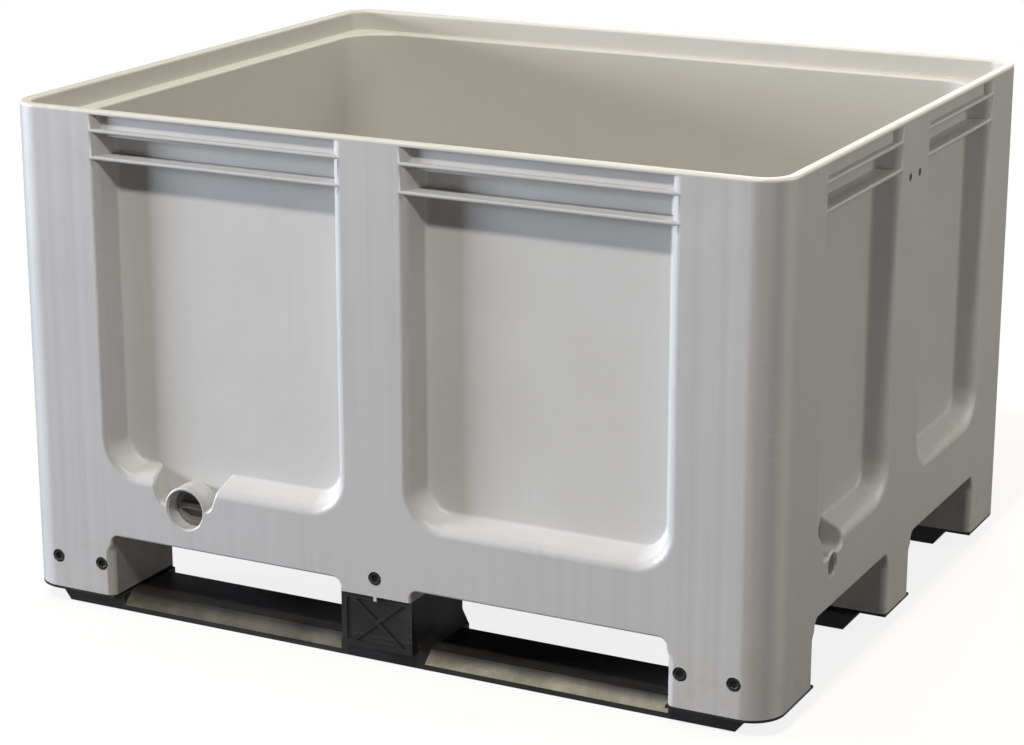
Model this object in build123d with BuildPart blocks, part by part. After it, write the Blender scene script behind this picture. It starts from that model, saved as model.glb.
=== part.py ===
from build123d import *
import os

# Pallet box: a one-piece moulded tub on three screwed runners, with two plugged drains.
# Millimetres, +X along the long side, +Y to the rear, the ground at z = 0 under the centre.

# Overall size
box_length = 1200.0
box_width = 1000.0
box_height = 760.0
corner_radius = 50.0

# Heights that stack up from the ground: sole, flange, fork entry, deck, band under the panels
sole_thickness = 24.0
flange_thickness = 4.0
entry_height = 123.0
deck_height = 27.0
band_height = 69.0

# Thicknesses of the moulding
skin = 5.0
wall = 5.0
floor_thickness = 5.0

# Rim: an upright lip around the ledge, which guides the next box in a stack
lip_thickness = 16.0
lip_height = 33.0
lip_round = 4.5
ledge_round = 4.0

# Tub, which narrows towards its floor
tub_inset = 40.0
tub_draft = 2.0
tub_radius = 75.0
tub_floor_round = 30.0

# Columns at the corners and in the middle of each side
corner_column_x = 153.0
corner_column_y = 155.0
centre_column_x = 110.0
centre_column_y = 130.0

# Recessed panels between the columns, with two ribs across their tops
panel_rise = 16.0
panel_draft = 14.0
panel_radius = 52.0
panel_round = 16.0
panel_root = 7.0
rim_band = 6.0
rib_thickness = 5.5
rib_round = 2.4
rib_drop = 30.0
rib_pitch = 39.0

# Feet and fork openings, and the small tab under each front and rear stub
middle_foot_y = 104.0
fork_round = 12.0
fork_edge = 4.0
foot_edge = 14.0
foot_edge_slack = 0.2
foot_edge_lap = 1.0
foot_edge_runout = 14.0
foot_hollow_round = 5.0
stub_width = 114.0
stub_drop = 18.0
tab_width = 5.0
tab_drop = 7.0

# Stiffening pockets under the floor and webs in the bands
grid_rib = 6.0
grid_round = 8.0
grid_cells = 2
web_count = 3

# Drain spouts: bore, tube and the notch in the panel's ledge around each
drain_rise = 33.0
drain_shoulder = 3.0
drain_round = 2.5
front_drain_from_foot = 131.0
front_drain_bore = 58.0
front_drain_tube = 70.0
front_drain_throat = 48.0
front_notch_rise = 5.0
front_notch_low = 84.0
front_notch_high = 124.0
side_drain_from_foot = 60.0
side_drain_bore = 30.0
side_drain_tube = 42.0
side_drain_throat = 22.0
side_notch_rise = 16.0
side_notch_low = 74.0
side_notch_high = 88.0
notch_round = 12.0
notch_edge = 5.0
notch_wall = 10.0

# Two holes for an accessory in the right-hand middle column
accessory_pitch = 40.0
accessory_hole = 12.0
accessory_drop = 86.0

# Runners
middle_sole_width = 135.0
sole_inset = 20.0
sole_end_inset = 41.0
sole_end_slope = 18.0
bevel_depth = 20.0
bevel_height = 16.0
bevel_block_gap = 11.0
bevel_foot_gap = 4.0
block_wall = 5.0
block_gap = 2.0
block_flare = 10.0
block_flare_height = 20.0
block_face_inset = 4.0
cross_border = 9.0
cross_rib = 6.0
cross_depth = 2.0
cross_angle = 40.0
peg_rise = 54.0
peg_gap = 7.0
peg_back_gap = 3.0

# Screws and the seats that they sit in
screw_head = 19.0
screw_head_height = 5.0
screw_head_round = 1.2
screw_socket = 10.0
screw_socket_depth = 3.0
screw_shank = 7.8
screw_point = 1.5
end_screw_length = 42.0
middle_screw_length = 30.0
screw_cover = 2.0
seat_bore = 21.0
seat_depth = 6.0
seat_thickness = 10.0
seat_boss = 32.0
clearance_hole = 9.0
pilot_hole = 8.0
pillar = 20.0
end_screw_rise = 48.0
centre_screw_rise = 27.0
outer_screw_inset = 55.0
inner_screw_inset = 20.5
middle_outer_inset = 84.0
middle_inner_inset = 32.0
access_bore = 22.0
access_wall = 5.0
access_roof = 8.0
middle_boss = 24.0
middle_boss_height = 32.0
touch_gap = 0.3

# Drain plugs and their sealing rings
plug_length = 15.0
plug_gap = 0.5
plug_floor = 5.0
plug_rim = 7.5
front_grip = 9.0
side_grip = 4.0
seal_section = 4.0
seal_groove = 4.6
seal_gap = 0.3
seal_seat = 0.1

# Levels and places that follow from the sizes above
half_length = box_length / 2
half_width = box_width / 2
foot_bottom = sole_thickness + flange_thickness
stub_bottom = entry_height - stub_drop
floor_level = entry_height + deck_height
floor_bottom = floor_level - floor_thickness
panel_bottom = floor_level + band_height
panel_top = box_height - rim_band
ledge_level = box_height - lip_height
column_top = ledge_level - wall
band_top = panel_bottom - wall
drain_level = floor_level + drain_rise
recess_depth = tub_inset - wall
slot_depth = lip_thickness - skin
rib_levels = [box_height - rib_drop, box_height - rib_drop - rib_pitch]

foot_x = half_length - corner_column_x
foot_y = half_width - corner_column_y
stub_x = stub_width / 2
middle_y = middle_foot_y / 2
foot_centre_x = half_length - corner_column_x / 2
foot_centre_y = half_width - corner_column_y / 2
long_panel = foot_x - centre_column_x / 2
short_panel = foot_y - centre_column_y / 2
long_panel_x = foot_x - long_panel / 2
short_panel_y = foot_y - short_panel / 2
fork_x = (foot_x + stub_x) / 2
fork_y = (foot_y + middle_y) / 2
fork_width_x = foot_x - stub_x
fork_width_y = foot_y - middle_y
tub_back_x = half_length - recess_depth
tub_back_y = half_width - recess_depth
runout_end = entry_height - fork_round
runout_start = runout_end - foot_edge_runout
runout_size = fork_edge - foot_edge_lap

# A panel's own frame has its face at y = 0 and the tub behind it
long_places = [Location((side * long_panel_x, -half_width, 0)) for side in (-1, 1)]
long_places += [Location((side * long_panel_x, half_width, 0), (0, 0, 180)) for side in (-1, 1)]
short_places = [Location((half_length, side * short_panel_y, 0), (0, 0, 90)) for side in (-1, 1)]
short_places += [Location((-half_length, side * short_panel_y, 0), (0, 0, -90)) for side in (-1, 1)]
front_drain_x = front_drain_from_foot - foot_x
side_drain_y = side_drain_from_foot - foot_y
front_drain_place = Location((front_drain_x, -half_width, 0))
side_drain_place = Location((half_length, side_drain_y, 0), (0, 0, 90))
drain_depth = tub_inset - drain_shoulder

# Upright edges of the feet beside the fork openings: a foot lies left of its edge and behind it
foot_edge_places = [Location((-foot_x, -half_width, 0)), Location((foot_x, -half_width, 0), (0, 0, -90))]
foot_edge_places += [Location((-foot_x, half_width, 0), (0, 0, 90))]
foot_edge_places += [Location((foot_x, half_width, 0), (0, 0, 180))]
foot_edge_places += [Location((half_length, y, 0)) for y in (-middle_y, foot_y)]
foot_edge_places += [Location((half_length, y, 0), (0, 0, 90)) for y in (-foot_y, middle_y)]
foot_edge_places += [Location((-half_length, y, 0), (0, 0, -90)) for y in (-middle_y, foot_y)]
foot_edge_places += [Location((-half_length, y, 0), (0, 0, 180)) for y in (-foot_y, middle_y)]

# Screws: their places on the front and rear faces and under the middle runner
seat_floor = seat_thickness - seat_depth
block_front = half_width - seat_thickness - touch_gap
block_top = floor_bottom - middle_boss_height
end_screw_level = foot_bottom + end_screw_rise
centre_screw_level = stub_bottom + centre_screw_rise
peg_back = tub_back_y + peg_back_gap
centre_screw_length = seat_floor + touch_gap + block_front - peg_back - screw_cover
end_screw_x = [half_length - outer_screw_inset, foot_x + inner_screw_inset]
end_screw_places = [(side * x, end_screw_level) for side in (-1, 1) for x in end_screw_x]
face_screw_places = end_screw_places + [(0, centre_screw_level)]
middle_screw_x = [half_length - middle_outer_inset, foot_x + middle_inner_inset]
middle_screw_places = [(side * x, 0) for side in (-1, 1) for x in middle_screw_x]


def panel_recess(width):
    """The space of one recessed panel: wide at the face, narrower at its back."""
    with BuildPart() as recess:
        with BuildSketch(Plane.XZ) as mouth:
            with Locations((0, (panel_bottom + panel_top) / 2)):
                Rectangle(width, panel_top - panel_bottom)
            fillet(mouth.vertices().group_by(Axis.Y)[0], panel_radius)
        with BuildSketch(Plane.XZ.offset(-recess_depth)) as back:
            with Locations((0, (panel_bottom + panel_rise + panel_top) / 2)):
                Rectangle(width - 2 * panel_draft, panel_top - panel_bottom - panel_rise)
            fillet(back.vertices().group_by(Axis.Y)[0], panel_radius - panel_draft)
        loft(ruled=True)
        fillet(recess.faces().sort_by(Axis.Y)[-1].edges(), panel_root)
    return recess.part


def panel_rib(width):
    """One rib across a panel, flush with the face, its front corners rounded."""
    with BuildPart() as rib:
        with BuildSketch(Plane.YZ) as section:
            with Locations((tub_inset / 2, 0)):
                Rectangle(tub_inset, rib_thickness)
            fillet(section.vertices().group_by(Axis.X)[0], rib_round)
        extrude(amount=width / 2 + panel_round, both=True)
    return rib.part


def lip_backing(width):
    """The lip's wall and the ledge behind the top of a panel, where the recess is shallow."""
    with BuildPart() as backing:
        with BuildSketch(Plane.YZ):
            with Locations(((slot_depth + tub_inset) / 2, (column_top + panel_top) / 2)):
                Rectangle(tub_inset - slot_depth, panel_top - column_top)
        extrude(amount=width / 2, both=True)
    return backing.part


def foot_edge_waste():
    """What a wide round takes off an upright edge of a foot: it runs out below the opening's corner."""
    with BuildPart() as waste:
        for steps in (
            ((0, foot_edge), (runout_start, foot_edge)),
            ((runout_start, foot_edge), (runout_end, runout_size)),
        ):
            for level, size in steps:
                with BuildSketch(Plane.XY.offset(level)):
                    with BuildLine():
                        CenterArc((-size, size), size + foot_edge_slack, 270, 90)
                        Polyline(
                            (foot_edge_slack, size),
                            (foot_edge_lap, size),
                            (foot_edge_lap, -foot_edge_lap),
                            (-size, -foot_edge_lap),
                            (-size, -foot_edge_slack),
                        )
                    make_face()
            loft(ruled=True)
    return waste.part


def drain_notch(rise, low_width, high_width):
    """The notch that a spout stands in, open to the panel above it."""
    bottom = drain_level + rise
    top = panel_bottom + panel_rise + panel_root
    with BuildPart() as notch:
        with BuildSketch(Plane.XZ) as outline:
            with BuildLine():
                Polyline(
                    (-low_width / 2, bottom),
                    (low_width / 2, bottom),
                    (high_width / 2, top),
                    (-high_width / 2, top),
                    close=True,
                )
            make_face()
            fillet(outline.vertices().group_by(Axis.Y)[0], notch_round)
        extrude(amount=-recess_depth)
    return notch.part


def drain_spout(tube):
    """The spout's tube, from the face back into the tub's wall."""
    with BuildPart() as spout:
        with BuildSketch(Plane.XZ):
            with Locations((0, drain_level)):
                Circle(tube / 2)
        extrude(amount=-tub_inset)
        fillet(spout.faces().sort_by(Axis.Y)[0].edges(), drain_round)
    return spout.part


def drain_bore(bore, throat):
    """The spout's rounded bore and the throat behind the shoulder that its plug stops at."""
    with BuildPart() as passage:
        with BuildSketch(Plane.YZ):
            with BuildLine():
                Line((0, drain_level), (0, drain_level + bore / 2 + drain_round))
                RadiusArc(
                    (0, drain_level + bore / 2 + drain_round),
                    (drain_round, drain_level + bore / 2),
                    drain_round,
                )
                Polyline(
                    (drain_round, drain_level + bore / 2),
                    (drain_depth, drain_level + bore / 2),
                    (drain_depth, drain_level + throat / 2),
                    (tub_inset + 2 * tub_draft, drain_level + throat / 2),
                    (tub_inset + 2 * tub_draft, drain_level),
                    (0, drain_level),
                )
            make_face()
        revolve(axis=Axis((0, 0, drain_level), (0, 1, 0)))
    return passage.part


def drain_plug(bore, grip):
    """A plug with a cupped face, a grip bar across the cup and a groove for its ring."""
    radius = bore / 2 - plug_gap
    front = drain_depth - touch_gap - plug_length
    groove = front + (plug_length - seal_groove) / 2
    with BuildPart() as plug:
        with BuildSketch(Plane.XZ.offset(-front)):
            with Locations((0, drain_level)):
                Circle(radius)
        extrude(amount=-plug_length)
        with BuildSketch(Plane.XZ.offset(-front)):
            with Locations((0, drain_level)):
                Circle(radius - plug_rim)
                Rectangle(bore, grip, mode=Mode.SUBTRACT)
        extrude(amount=-(plug_length - plug_floor), mode=Mode.SUBTRACT)
        with BuildSketch(Plane.XZ.offset(-groove)):
            with Locations((0, drain_level)):
                Circle(bore / 2)
                Circle(bore / 2 - seal_gap - seal_section - seal_seat, mode=Mode.SUBTRACT)
        extrude(amount=-seal_groove, mode=Mode.SUBTRACT)
    return plug.part


def drain_seal(bore):
    """The round rubber ring in a plug's groove."""
    centre = drain_depth - touch_gap - plug_length / 2
    with BuildPart() as ring:
        with Locations((0, centre, drain_level)):
            Torus(bore / 2 - seal_gap - seal_section / 2, seal_section / 2, rotation=(90, 0, 0))
    return ring.part


def screw(length):
    """A flat-headed screw with a hexagon socket, its head standing on z = 0."""
    with BuildPart() as fastener:
        with BuildSketch(Plane.XY):
            Circle(screw_head / 2)
        extrude(amount=screw_head_height)
        fillet(fastener.faces().sort_by(Axis.Z)[-1].edges(), screw_head_round)
        with BuildSketch(Plane.XY):
            Circle(screw_shank / 2)
        extrude(amount=-length)
        chamfer(fastener.faces().sort_by(Axis.Z)[0].edges(), screw_point)
        with BuildSketch(Plane.XY.offset(screw_head_height)):
            RegularPolygon(screw_socket / 2, 6)
        extrude(amount=-screw_socket_depth, mode=Mode.SUBTRACT)
    return fastener.part


long_recess = panel_recess(long_panel)
short_recess = panel_recess(short_panel)
long_rib = panel_rib(long_panel)
short_rib = panel_rib(short_panel)
long_backing = lip_backing(long_panel)
short_backing = lip_backing(short_panel)
front_notch = drain_notch(front_notch_rise, front_notch_low, front_notch_high)
side_notch = drain_notch(side_notch_rise, side_notch_low, side_notch_high)
front_spout = drain_spout(front_drain_tube)
side_spout = drain_spout(side_drain_tube)
front_bore = drain_bore(front_drain_bore, front_drain_throat)
side_bore = drain_bore(side_drain_bore, side_drain_throat)

with BuildPart() as box_body:
    with BuildSketch(Plane.XY.offset(foot_bottom)):
        RectangleRounded(box_length, box_width, corner_radius)
    extrude(amount=box_height - foot_bottom)

    # Panels between the columns, with their mouths rounded
    with Locations(*long_places):
        add(long_recess, mode=Mode.SUBTRACT)
    with Locations(*short_places):
        add(short_recess, mode=Mode.SUBTRACT)
    mouths = box_body.edges().filter_by_position(Axis.Z, panel_bottom - skin, panel_top - skin)
    fillet(
        mouths.filter_by_position(Axis.Y, -half_width - skin, -half_width + skin)
        .filter_by_position(Axis.X, -foot_x - skin, foot_x + skin)
        + mouths.filter_by_position(Axis.Y, half_width - skin, half_width + skin)
        .filter_by_position(Axis.X, -foot_x - skin, foot_x + skin)
        + mouths.filter_by_position(Axis.X, -half_length - skin, -half_length + skin)
        .filter_by_position(Axis.Y, -foot_y - skin, foot_y + skin)
        + mouths.filter_by_position(Axis.X, half_length - skin, half_length + skin)
        .filter_by_position(Axis.Y, -foot_y - skin, foot_y + skin),
        panel_round,
    )

    # The lip's wall behind the tops of the panels, and the ribs across them
    with Locations(*long_places):
        add(long_backing)
    with Locations(*short_places):
        add(short_backing)
    with Locations(*[place * Pos(0, 0, level) for place in long_places for level in rib_levels]):
        add(long_rib)
    with Locations(*[place * Pos(0, 0, level) for place in short_places for level in rib_levels]):
        add(short_rib)

    # Tub with its rounded floor, the ledge and the lip
    with BuildSketch(Plane.XY.offset(floor_level)):
        RectangleRounded(
            box_length - 2 * (tub_inset + tub_draft),
            box_width - 2 * (tub_inset + tub_draft),
            tub_radius - tub_draft,
        )
    with BuildSketch(Plane.XY.offset(ledge_level)):
        RectangleRounded(box_length - 2 * tub_inset, box_width - 2 * tub_inset, tub_radius)
    loft(ruled=True, mode=Mode.SUBTRACT)
    with BuildSketch(Plane.XY.offset(ledge_level)):
        RectangleRounded(
            box_length - 2 * lip_thickness,
            box_width - 2 * lip_thickness,
            corner_radius - lip_thickness,
        )
    extrude(amount=lip_height, mode=Mode.SUBTRACT)
    tub_floor = box_body.faces().filter_by_position(Axis.Z, floor_level - skin, floor_level + skin)
    fillet(tub_floor.sort_by(SortBy.AREA)[-1].edges(), tub_floor_round)
    ledge = box_body.faces().filter_by_position(Axis.Z, ledge_level - skin, ledge_level + skin)
    ledge = ledge.filter_by(Axis.Z).sort_by(SortBy.AREA)[-1]
    fillet(ledge.inner_wires()[0].edges(), ledge_round)
    fillet(box_body.faces().sort_by(Axis.Z)[-1].edges(), lip_round)

    # Fork openings in both directions, and the strip of stubs between the front ones
    with BuildSketch(Plane.XZ.offset(half_width)) as front_entries:
        with Locations((-fork_x, entry_height / 2), (fork_x, entry_height / 2)):
            Rectangle(fork_width_x, entry_height)
        fillet(front_entries.vertices().group_by(Axis.Y)[-1], fork_round)
    extrude(amount=-box_width, mode=Mode.SUBTRACT)
    with BuildSketch(Plane.YZ.offset(-half_length)) as side_entries:
        with Locations((-fork_y, entry_height / 2), (fork_y, entry_height / 2)):
            Rectangle(fork_width_y, entry_height)
        fillet(side_entries.vertices().group_by(Axis.Y)[-1], fork_round)
    extrude(amount=box_length, mode=Mode.SUBTRACT)
    entries = box_body.edges().filter_by_position(Axis.Z, foot_bottom + skin, entry_height + skin)
    fillet(
        entries.filter_by_position(Axis.Y, -half_width - skin, -half_width + skin)
        + entries.filter_by_position(Axis.Y, half_width - skin, half_width + skin)
        + entries.filter_by_position(Axis.X, -half_length - skin, -half_length + skin)
        + entries.filter_by_position(Axis.X, half_length - skin, half_length + skin),
        fork_edge,
    )
    with BuildSketch(Plane.XY):
        Rectangle(stub_width, box_width)
    extrude(amount=stub_bottom, mode=Mode.SUBTRACT)
    with Locations(*foot_edge_places):
        add(foot_edge_waste(), mode=Mode.SUBTRACT)

    # Hollow feet and stubs
    with BuildSketch(Plane.XY):
        with GridLocations(2 * foot_centre_x, 2 * foot_centre_y, 2, 2):
            RectangleRounded(corner_column_x - 2 * skin, corner_column_y - 2 * skin, foot_hollow_round)
        with GridLocations(2 * foot_centre_x, 0, 2, 1):
            RectangleRounded(corner_column_x - 2 * skin, middle_foot_y - 2 * skin, foot_hollow_round)
        with GridLocations(0, 2 * foot_centre_y, 1, 2):
            Rectangle(stub_width - 2 * skin, corner_column_y - 2 * skin)
        Rectangle(stub_width - 2 * skin, middle_foot_y - 2 * skin)
        RectangleRounded(
            box_length - 2 * skin,
            box_width - 2 * skin,
            corner_radius - skin,
            mode=Mode.INTERSECT,
        )
    extrude(amount=floor_bottom, mode=Mode.SUBTRACT)

    # Hollow columns between the skin and the tub
    with BuildSketch(Plane.XY.offset(floor_bottom)):
        with GridLocations(2 * foot_centre_x, 2 * foot_centre_y, 2, 2):
            Rectangle(corner_column_x - 2 * skin, corner_column_y - 2 * skin)
        with GridLocations(0, 2 * foot_centre_y, 1, 2):
            Rectangle(centre_column_x - 2 * skin, corner_column_y - 2 * skin)
        with GridLocations(2 * foot_centre_x, 0, 2, 1):
            Rectangle(corner_column_x - 2 * skin, centre_column_y - 2 * skin)
        RectangleRounded(
            box_length - 2 * skin,
            box_width - 2 * skin,
            corner_radius - skin,
            mode=Mode.INTERSECT,
        )
        RectangleRounded(2 * tub_back_x, 2 * tub_back_y, tub_radius + wall, mode=Mode.SUBTRACT)
    extrude(amount=column_top - floor_bottom, mode=Mode.SUBTRACT)

    # Hollow bands under the panels, with webs across them and solid around the drains
    with BuildSketch(Plane.XY.offset(stub_bottom)):
        with GridLocations(2 * fork_x, box_width - skin - recess_depth, 2, 2):
            Rectangle(fork_width_x - 2 * skin, recess_depth - skin)
        with GridLocations(box_length - skin - recess_depth, 2 * fork_y, 2, 2):
            Rectangle(recess_depth - skin, fork_width_y - 2 * skin)
        with Locations((-fork_x, 0), (fork_x, 0)):
            with GridLocations(fork_width_x / (web_count + 1), 0, web_count, 1):
                Rectangle(grid_rib, box_width, mode=Mode.SUBTRACT)
        with Locations((0, -fork_y), (0, fork_y)):
            with GridLocations(0, fork_width_y / (web_count + 1), 1, web_count):
                Rectangle(box_length, grid_rib, mode=Mode.SUBTRACT)
        with Locations((front_drain_x, -half_width)):
            Rectangle(front_notch_high + 2 * notch_wall, 2 * tub_inset, mode=Mode.SUBTRACT)
        with Locations((half_length, side_drain_y)):
            Rectangle(2 * tub_inset, side_notch_high + 2 * notch_wall, mode=Mode.SUBTRACT)
    extrude(amount=band_top - stub_bottom, mode=Mode.SUBTRACT)

    # Pockets under the floor
    cell_x = fork_width_x / grid_cells
    cell_y = fork_width_y / grid_cells
    strip_x = tub_back_x - foot_x
    strip_y = tub_back_y - foot_y
    with BuildSketch(Plane.XY.offset(stub_bottom)):
        with GridLocations(2 * fork_x, 2 * fork_y, 2, 2):
            with GridLocations(cell_x, cell_y, grid_cells, grid_cells):
                RectangleRounded(cell_x - grid_rib, cell_y - grid_rib, grid_round)
        with GridLocations(2 * fork_x, 0, 2, 1):
            with GridLocations(cell_x, foot_y + tub_back_y, grid_cells, 2):
                RectangleRounded(cell_x - grid_rib, strip_y - grid_rib, grid_round)
            with GridLocations(cell_x, 0, grid_cells, 1):
                RectangleRounded(cell_x - grid_rib, middle_foot_y - grid_rib, grid_round)
        with GridLocations(0, 2 * fork_y, 1, 2):
            with GridLocations(foot_x + tub_back_x, cell_y, 2, grid_cells):
                RectangleRounded(strip_x - grid_rib, cell_y - grid_rib, grid_round)
            with GridLocations(0, cell_y, 1, grid_cells):
                RectangleRounded(stub_width - grid_rib, cell_y - grid_rib, grid_round)
    extrude(amount=floor_bottom - stub_bottom, mode=Mode.SUBTRACT)

    # Drain notches with rounded edges, and the spouts in them
    with Locations(front_drain_place):
        add(front_notch, mode=Mode.SUBTRACT)
    with Locations(side_drain_place):
        add(side_notch, mode=Mode.SUBTRACT)
    notch_edges = box_body.edges().filter_by_position(Axis.Z, drain_level, panel_bottom - panel_round)
    front_reach = front_notch_high / 2
    side_reach = side_notch_high / 2
    fillet(
        notch_edges.filter_by_position(Axis.Y, -half_width - skin, -half_width + skin)
        .filter_by_position(Axis.X, front_drain_x - front_reach, front_drain_x + front_reach)
        + notch_edges.filter_by_position(Axis.X, half_length - skin, half_length + skin)
        .filter_by_position(Axis.Y, side_drain_y - side_reach, side_drain_y + side_reach),
        notch_edge,
    )
    with Locations(front_drain_place):
        add(front_spout)
        add(front_bore, mode=Mode.SUBTRACT)
    with Locations(side_drain_place):
        add(side_spout)
        add(side_bore, mode=Mode.SUBTRACT)

    # Screw seats in the front and rear faces, and the tabs under their stubs
    boss_start = half_width - skin / 2
    boss_length = seat_thickness - skin / 2
    with BuildSketch(Plane.XZ.offset(boss_start)):
        with Locations(*face_screw_places):
            Circle(seat_boss / 2)
    extrude(amount=-boss_length)
    with BuildSketch(Plane.XZ.offset(-boss_start)):
        with Locations(*face_screw_places):
            Circle(seat_boss / 2)
    extrude(amount=boss_length)
    front_seats = [Location((x, -half_width, z), (90, 0, 0)) for x, z in face_screw_places]
    rear_seats = [Location((x, half_width, z), (-90, 0, 0)) for x, z in face_screw_places]
    with Locations(*front_seats, *rear_seats):
        CounterBoreHole(clearance_hole / 2, seat_bore / 2, seat_depth, depth=2 * seat_thickness)
    tab_level = stub_bottom - tab_drop / 2
    tab_thickness = block_face_inset - touch_gap
    with GridLocations(0, box_width - tab_thickness, 1, 2):
        with Locations((0, 0, tab_level)):
            Box(tab_width, tab_thickness, tab_drop)

    # Bosses for the middle runner's screws
    with BuildSketch(Plane.XY.offset(block_top + touch_gap)):
        with Locations(*middle_screw_places):
            Circle(middle_boss / 2)
    extrude(amount=floor_bottom - block_top)
    with BuildSketch(Plane.XY.offset(stub_bottom)):
        Circle(middle_boss / 2)
    extrude(amount=floor_bottom - stub_bottom)
    middle_pilot = middle_screw_length - access_roof + screw_cover
    with Locations(*[Location((x, y, block_top + touch_gap), (180, 0, 0)) for x, y in middle_screw_places]):
        Hole(pilot_hole / 2, depth=middle_pilot)
    with Locations(Location((0, 0, stub_bottom), (180, 0, 0))):
        Hole(pilot_hole / 2, depth=middle_pilot)

    # Accessory holes in the right-hand middle column
    accessory_level = box_height - accessory_drop
    with Locations(Location((half_length, 0, accessory_level), (0, 90, 0))):
        with GridLocations(0, accessory_pitch, 1, 2):
            Hole(accessory_hole / 2, depth=2 * skin)

# Runner under the front edge: sole, flanges under the feet, blocks in the feet and in the middle
sole_end = half_length - sole_end_inset
bevel_span = fork_width_x - bevel_block_gap - bevel_foot_gap
bevel_starts = [stub_x + bevel_block_gap, bevel_foot_gap - foot_x]
block_length = corner_column_x - 2 * (skin + block_gap)
end_block_depth = block_front - foot_y - skin - block_gap
end_block_y = -block_front + end_block_depth / 2
end_pilot = end_screw_length - seat_floor - touch_gap + screw_cover
sole_pocket_length = block_length - sole_end_inset - sole_end_slope + skin + block_gap - 2 * block_wall
sole_pocket_x = foot_x + skin + block_gap + block_wall + sole_pocket_length / 2
sole_pocket_depth = half_width - sole_inset - foot_y - skin - block_gap - 2 * block_wall
sole_pocket_y = sole_inset + block_wall - half_width + sole_pocket_depth / 2
centre_front = half_width - block_face_inset
centre_depth = centre_front - foot_y
centre_height = stub_bottom - sole_thickness
peg_width = centre_column_x - 2 * (skin + peg_gap)
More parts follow.
